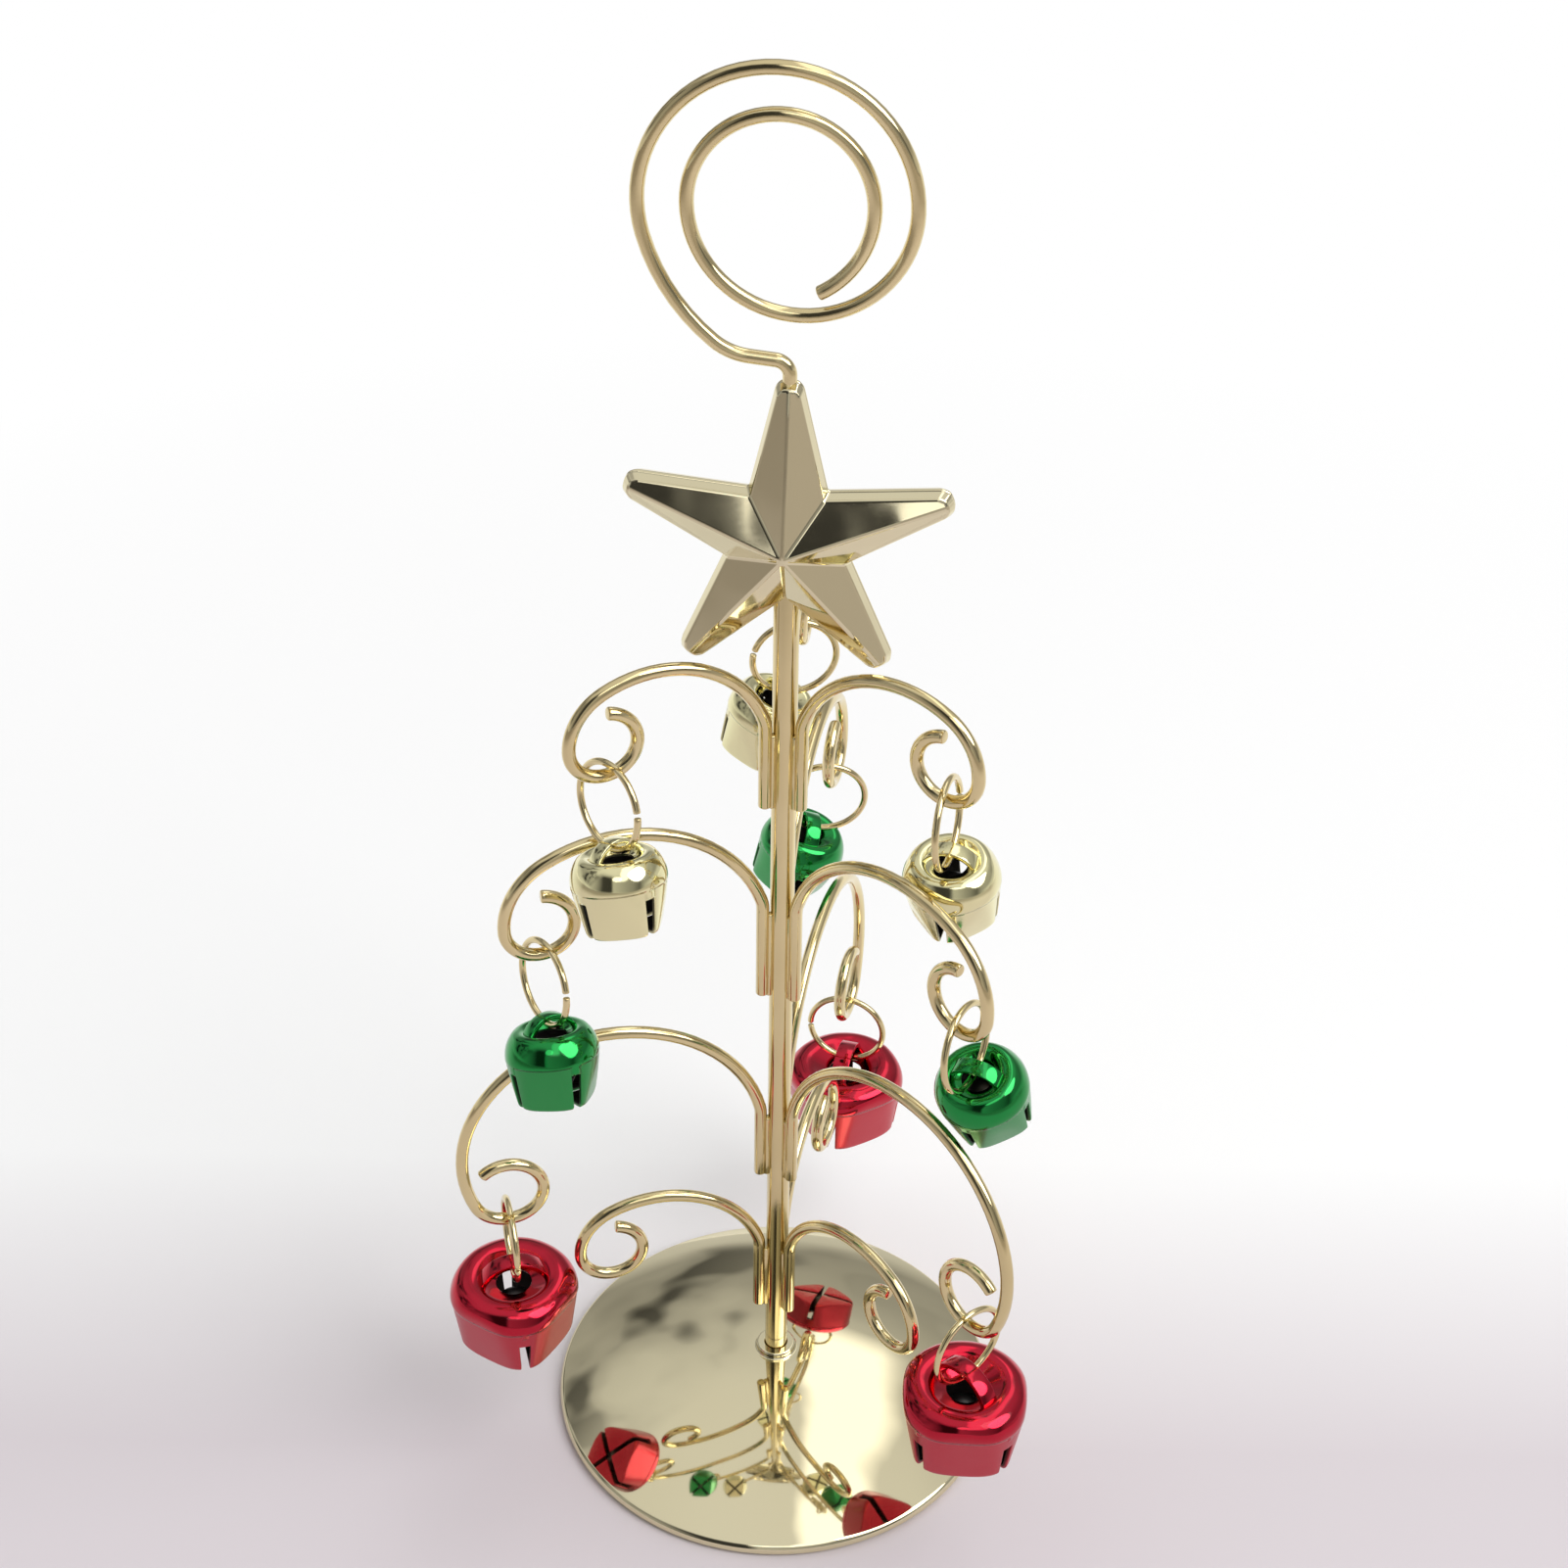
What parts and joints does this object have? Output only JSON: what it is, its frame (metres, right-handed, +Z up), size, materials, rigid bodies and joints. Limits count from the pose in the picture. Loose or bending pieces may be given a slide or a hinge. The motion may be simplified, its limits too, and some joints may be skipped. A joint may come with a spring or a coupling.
{
  "type": "card display tree",
  "caption": "Tabletop card display tree: a domed foot and stem with tiers of curled wire arms, jingle bells on jump rings, a faceted star and a spiral wire clip for a card.",
  "frame": {"origin": "on the axis of the stem, at the level of the table under the rim; the flat lower end of the stem lies 0.4 mm above it", "axes": "+Z up along the stem; the front of the star faces -Y, turned 6 degrees; +X is to the right seen from the front"},
  "size_m": [0.065, 0.0672, 0.1648],
  "materials": {
    "plated_gold": "polished pale gold plate on steel",
    "bell_gold": "bright gold lacquer, satin petals",
    "bell_green": "bright metallic green, satin petals",
    "bell_red": "bright metallic red, satin petals",
    "pellet_steel": "plain steel ball"
  },
  "bodies": {
    "tree": {"base_plate": "plated_gold", "stem_rod": "plated_gold", "star_front": "plated_gold", "star_back": "plated_gold", "card_clip": "plated_gold", "arm_bottom_left": "plated_gold", "arm_bottom_right": "plated_gold", "arm_bottom_back": "plated_gold", "arm_lower_left": "plated_gold", "arm_lower_right": "plated_gold", "arm_lower_back": "plated_gold", "arm_upper_left": "plated_gold", "arm_upper_right": "plated_gold", "arm_upper_back": "plated_gold", "arm_top_left": "plated_gold", "arm_top_right": "plated_gold", "arm_top_back": "plated_gold"},
    "ring_red_left": {"ring_red_left": "plated_gold"},
    "bell_red_left": {"bell_red_left": "bell_red"},
    "pellet_red_left": {"pellet_red_left": "pellet_steel"},
    "ring_red_right": {"ring_red_right": "plated_gold"},
    "bell_red_right": {"bell_red_right": "bell_red"},
    "pellet_red_right": {"pellet_red_right": "pellet_steel"},
    "ring_red_back": {"ring_red_back": "plated_gold"},
    "bell_red_back": {"bell_red_back": "bell_red"},
    "pellet_red_back": {"pellet_red_back": "pellet_steel"},
    "ring_green_left": {"ring_green_left": "plated_gold"},
    "bell_green_left": {"bell_green_left": "bell_green"},
    "pellet_green_left": {"pellet_green_left": "pellet_steel"},
    "ring_green_right": {"ring_green_right": "plated_gold"},
    "bell_green_right": {"bell_green_right": "bell_green"},
    "pellet_green_right": {"pellet_green_right": "pellet_steel"},
    "ring_green_back": {"ring_green_back": "plated_gold"},
    "bell_green_back": {"bell_green_back": "bell_green"},
    "pellet_green_back": {"pellet_green_back": "pellet_steel"},
    "ring_gold_left": {"ring_gold_left": "plated_gold"},
    "bell_gold_left": {"bell_gold_left": "bell_gold"},
    "pellet_gold_left": {"pellet_gold_left": "pellet_steel"},
    "ring_gold_right": {"ring_gold_right": "plated_gold"},
    "bell_gold_right": {"bell_gold_right": "bell_gold"},
    "pellet_gold_right": {"pellet_gold_right": "pellet_steel"},
    "ring_gold_back": {"ring_gold_back": "plated_gold"},
    "bell_gold_back": {"bell_gold_back": "bell_gold"},
    "pellet_gold_back": {"pellet_gold_back": "pellet_steel"}
  },
  "joints": [
    {"name": "swing_ring_red_left", "type": "hinge", "parent": "tree", "child": "ring_red_left", "pos_m": [-0.03003, -0.00782, 0.0348], "axis": [-0.9677, -0.2521, 0], "range_deg": [-60, 60]},
    {"name": "tilt_bell_red_left", "type": "hinge", "parent": "ring_red_left", "child": "bell_red_left", "pos_m": [-0.03003, -0.00782, 0.02693], "axis": [0.2521, -0.9677, 0], "range_deg": [-30, 5]},
    {"name": "rattle_pellet_red_left", "type": "slide", "parent": "bell_red_left", "child": "pellet_red_left", "axis": [0, 0, 1], "range_m": [0, 0.002]},
    {"name": "swing_ring_red_right", "type": "hinge", "parent": "tree", "child": "ring_red_right", "pos_m": [0.02077, -0.02306, 0.0348], "axis": [0.6691, -0.7431, 0], "range_deg": [-60, 60]},
    {"name": "tilt_bell_red_right", "type": "hinge", "parent": "ring_red_right", "child": "bell_red_right", "pos_m": [0.02077, -0.02306, 0.02693], "axis": [0.7431, 0.6691, 0], "range_deg": [-30, 5]},
    {"name": "rattle_pellet_red_right", "type": "slide", "parent": "bell_red_right", "child": "pellet_red_right", "axis": [0, 0, 1], "range_m": [0, 0.002]},
    {"name": "swing_ring_red_back", "type": "hinge", "parent": "tree", "child": "ring_red_back", "pos_m": [0.00824, 0.02992, 0.0348], "axis": [0.2656, 0.9641, 0], "range_deg": [-60, 60]},
    {"name": "tilt_bell_red_back", "type": "hinge", "parent": "ring_red_back", "child": "bell_red_back", "pos_m": [0.00824, 0.02992, 0.02693], "axis": [-0.9641, 0.2656, 0], "range_deg": [-30, 5]},
    {"name": "rattle_pellet_red_back", "type": "slide", "parent": "bell_red_back", "child": "pellet_red_back", "axis": [0, 0, 1], "range_m": [0, 0.002]},
    {"name": "swing_ring_green_left", "type": "hinge", "parent": "tree", "child": "ring_green_left", "pos_m": [-0.02503, -0.0078, 0.07247], "axis": [-0.9548, -0.2974, 0], "range_deg": [0, 60]},
    {"name": "tilt_bell_green_left", "type": "hinge", "parent": "ring_green_left", "child": "bell_green_left", "pos_m": [-0.02425, -0.01031, 0.06505], "axis": [0.5616, -0.7641, 0.3175], "range_deg": [-30, 10]},
    {"name": "rattle_pellet_green_left", "type": "slide", "parent": "bell_green_left", "child": "pellet_green_left", "axis": [-0.0993, 0.3187, 0.9426], "range_m": [0, 0.0022]},
    {"name": "swing_ring_green_right", "type": "hinge", "parent": "tree", "child": "ring_green_right", "pos_m": [0.01788, -0.01918, 0.07247], "axis": [0.682, -0.7314, 0], "range_deg": [0, 60]},
    {"name": "tilt_bell_green_right", "type": "hinge", "parent": "ring_green_right", "child": "bell_green_right", "pos_m": [0.02008, -0.01712, 0.0652], "axis": [0.4319, 0.8252, 0.364], "range_deg": [-30, 10]},
    {"name": "rattle_pellet_green_right", "type": "slide", "parent": "bell_green_right", "child": "pellet_green_right", "axis": [-0.2799, -0.261, 0.9239], "range_m": [0, 0.0022]},
    {"name": "swing_ring_green_back", "type": "hinge", "parent": "tree", "child": "ring_green_back", "pos_m": [0.00576, 0.02558, 0.07247], "axis": [0.2198, 0.9755, 0], "range_deg": [0, 60]},
    {"name": "tilt_bell_green_back", "type": "hinge", "parent": "ring_green_back", "child": "bell_green_back", "pos_m": [0.0032, 0.02615, 0.06505], "axis": [-0.9425, -0.1044, 0.3175], "range_deg": [-30, 10]},
    {"name": "rattle_pellet_green_back", "type": "slide", "parent": "bell_green_back", "child": "pellet_green_back", "axis": [0.3256, -0.0734, 0.9426], "range_m": [0, 0.0022]},
    {"name": "swing_ring_gold_left", "type": "hinge", "parent": "tree", "child": "ring_gold_left", "pos_m": [-0.01781, -0.00804, 0.09523], "axis": [-0.9114, -0.4115, 0], "range_deg": [0, 60]},
    {"name": "tilt_bell_gold_left", "type": "hinge", "parent": "ring_gold_left", "child": "bell_gold_left", "pos_m": [-0.01681, -0.01026, 0.08774], "axis": [0.6539, -0.6972, 0.2939], "range_deg": [-30, 10]},
    {"name": "rattle_pellet_gold_left", "type": "slide", "parent": "bell_gold_left", "child": "pellet_gold_left", "axis": [-0.1272, 0.2816, 0.9511], "range_m": [0, 0.0022]},
    {"name": "swing_ring_gold_right", "type": "hinge", "parent": "tree", "child": "ring_gold_right", "pos_m": [0.01587, -0.0114, 0.09523], "axis": [0.8121, -0.5835, 0], "range_deg": [0, 60]},
    {"name": "tilt_bell_gold_right", "type": "hinge", "parent": "ring_gold_right", "child": "bell_gold_right", "pos_m": [0.01671, -0.01024, 0.08749], "axis": [0.2947, 0.9397, 0.1733], "range_deg": [-30, 10]},
    {"name": "rattle_pellet_gold_right", "type": "slide", "parent": "bell_gold_right", "child": "pellet_gold_right", "axis": [-0.1063, -0.148, 0.9833], "range_m": [0, 0.0022]},
    {"name": "swing_ring_gold_back", "type": "hinge", "parent": "tree", "child": "ring_gold_back", "pos_m": [0.00194, 0.01945, 0.09523], "axis": [0.0993, 0.9951, 0], "range_deg": [0, 60]},
    {"name": "tilt_bell_gold_back", "type": "hinge", "parent": "ring_gold_back", "child": "bell_gold_back", "pos_m": [-0.00048, 0.01969, 0.08774], "axis": [-0.9307, -0.2177, 0.2939], "range_deg": [-30, 10]},
    {"name": "rattle_pellet_gold_back", "type": "slide", "parent": "bell_gold_back", "child": "pellet_gold_back", "axis": [0.3075, -0.0307, 0.9511], "range_m": [0, 0.0022]}
  ]
}
